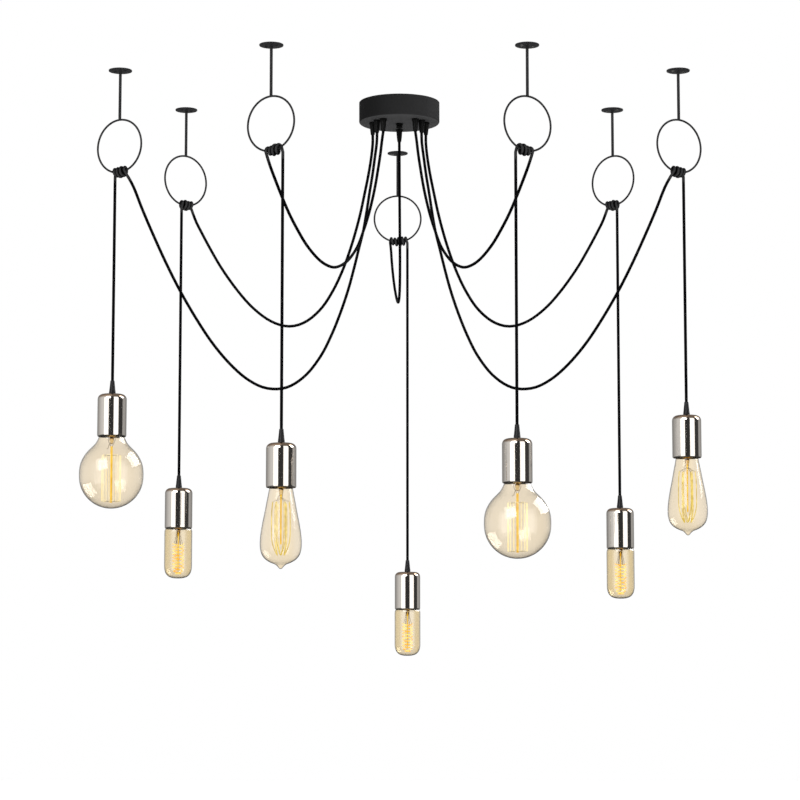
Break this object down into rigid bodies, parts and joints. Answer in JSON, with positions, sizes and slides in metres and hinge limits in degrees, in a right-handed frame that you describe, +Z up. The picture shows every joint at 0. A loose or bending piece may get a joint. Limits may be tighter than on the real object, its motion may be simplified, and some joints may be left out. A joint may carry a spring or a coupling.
{
  "type": "chandelier",
  "caption": "Swag chandelier with a round black canopy, black cords wound round ring hangers on the ceiling, and amber filament lamps in nickel cups.",
  "frame": {"origin": "on the ceiling plane, at the centre of the canopy", "axes": "+Z up into the ceiling, +X along the wider row of lamps, to the right of a viewer on the -Y side"},
  "size_m": [0.9271, 0.8085, 0.8656],
  "materials": {
    "canopy_black": "satin black powder coat",
    "hanger_black": "satin black paint",
    "cord_black": "matt black sheath",
    "grip_black": "satin black moulding",
    "zinc_steel": "zinc plated",
    "terminal_white": "off-white moulding",
    "satin_nickel": "polished nickel plate",
    "holder_black": "satin black moulding",
    "lamp_cap": "bright cap",
    "amber_glass": "clear amber tint"
  },
  "bodies": {
    "mounting": {"ceiling_bracket": "zinc_steel", "canopy": "canopy_black", "canopy_knob": "canopy_black", "terminal_block": "terminal_white", "hanger_near_left": "hanger_black", "canopy_grip_near_left": "grip_black", "swag_cord_near_left": "cord_black", "hanger_mid_left": "hanger_black", "canopy_grip_mid_left": "grip_black", "swag_cord_mid_left": "cord_black", "hanger_far_left": "hanger_black", "canopy_grip_far_left": "grip_black", "swag_cord_far_left": "cord_black", "hanger_back": "hanger_black", "canopy_grip_back": "grip_black", "swag_cord_back": "cord_black", "hanger_far_right": "hanger_black", "canopy_grip_far_right": "grip_black", "swag_cord_far_right": "cord_black", "hanger_mid_right": "hanger_black", "canopy_grip_mid_right": "grip_black", "swag_cord_mid_right": "cord_black", "hanger_near_right": "hanger_black", "canopy_grip_near_right": "grip_black", "swag_cord_near_right": "cord_black"},
    "pendant_near_left": {"drop_cord_near_left": "cord_black", "cup_near_left": "satin_nickel", "lampholder_near_left": "holder_black"},
    "bulb_near_left": {"bulb_base_near_left": "lamp_cap", "bulb_glass_near_left": "amber_glass"},
    "pendant_mid_left": {"drop_cord_mid_left": "cord_black", "cup_mid_left": "satin_nickel", "lampholder_mid_left": "holder_black"},
    "bulb_mid_left": {"bulb_base_mid_left": "lamp_cap", "bulb_glass_mid_left": "amber_glass"},
    "pendant_far_left": {"drop_cord_far_left": "cord_black", "cup_far_left": "satin_nickel", "lampholder_far_left": "holder_black"},
    "bulb_far_left": {"bulb_base_far_left": "lamp_cap", "bulb_glass_far_left": "amber_glass"},
    "pendant_back": {"drop_cord_back": "cord_black", "cup_back": "satin_nickel", "lampholder_back": "holder_black"},
    "bulb_back": {"bulb_base_back": "lamp_cap", "bulb_glass_back": "amber_glass"},
    "pendant_far_right": {"drop_cord_far_right": "cord_black", "cup_far_right": "satin_nickel", "lampholder_far_right": "holder_black"},
    "bulb_far_right": {"bulb_base_far_right": "lamp_cap", "bulb_glass_far_right": "amber_glass"},
    "pendant_mid_right": {"drop_cord_mid_right": "cord_black", "cup_mid_right": "satin_nickel", "lampholder_mid_right": "holder_black"},
    "bulb_mid_right": {"bulb_base_mid_right": "lamp_cap", "bulb_glass_mid_right": "amber_glass"},
    "pendant_near_right": {"drop_cord_near_right": "cord_black", "cup_near_right": "satin_nickel", "lampholder_near_right": "holder_black"},
    "bulb_near_right": {"bulb_base_near_right": "lamp_cap", "bulb_glass_near_right": "amber_glass"}
  },
  "joints": [
    {"name": "swing_near_left", "type": "hinge", "parent": "mounting", "child": "pendant_near_left", "pos_m": [-0.16655, -0.36918, -0.16376], "axis": [-0.8572, 0.515, 0], "range_deg": [-12, 12]},
    {"name": "bulb_out_near_left", "type": "slide", "parent": "pendant_near_left", "child": "bulb_near_left", "axis": [0, 0, -1], "range_m": [0, 0.045]},
    {"name": "swing_mid_left", "type": "hinge", "parent": "mounting", "child": "pendant_mid_left", "pos_m": [-0.42514, -0.20262, -0.1661], "axis": [-0.866, 0.5, 0], "range_deg": [-12, 12]},
    {"name": "bulb_out_mid_left", "type": "slide", "parent": "pendant_mid_left", "child": "bulb_mid_left", "axis": [0, 0, -1], "range_m": [0, 0.045]},
    {"name": "swing_far_left", "type": "hinge", "parent": "mounting", "child": "pendant_far_left", "pos_m": [-0.34611, 0.03656, -0.1661], "axis": [0.766, 0.6428, 0], "range_deg": [-12, 12]},
    {"name": "bulb_out_far_left", "type": "slide", "parent": "pendant_far_left", "child": "bulb_far_left", "axis": [0, 0, -1], "range_m": [0, 0.045]},
    {"name": "swing_back", "type": "hinge", "parent": "mounting", "child": "pendant_back", "pos_m": [0.0138, 0.37135, -0.16418], "axis": [1, 0, 0], "range_deg": [-12, 12]},
    {"name": "bulb_out_back", "type": "slide", "parent": "pendant_back", "child": "bulb_back", "axis": [0, 0, -1], "range_m": [0, 0.045]},
    {"name": "swing_far_right", "type": "hinge", "parent": "mounting", "child": "pendant_far_right", "pos_m": [0.34611, 0.03656, -0.1661], "axis": [0.766, -0.6428, 0], "range_deg": [-12, 12]},
    {"name": "bulb_out_far_right", "type": "slide", "parent": "pendant_far_right", "child": "bulb_far_right", "axis": [0, 0, -1], "range_m": [0, 0.045]},
    {"name": "swing_mid_right", "type": "hinge", "parent": "mounting", "child": "pendant_mid_right", "pos_m": [0.42514, -0.20262, -0.1661], "axis": [-0.866, -0.5, 0], "range_deg": [-12, 12]},
    {"name": "bulb_out_mid_right", "type": "slide", "parent": "pendant_mid_right", "child": "bulb_mid_right", "axis": [0, 0, -1], "range_m": [0, 0.045]},
    {"name": "swing_near_right", "type": "hinge", "parent": "mounting", "child": "pendant_near_right", "pos_m": [0.16655, -0.36918, -0.16376], "axis": [-0.8572, -0.515, 0], "range_deg": [-12, 12]},
    {"name": "bulb_out_near_right", "type": "slide", "parent": "pendant_near_right", "child": "bulb_near_right", "axis": [0, 0, -1], "range_m": [0, 0.045]}
  ]
}
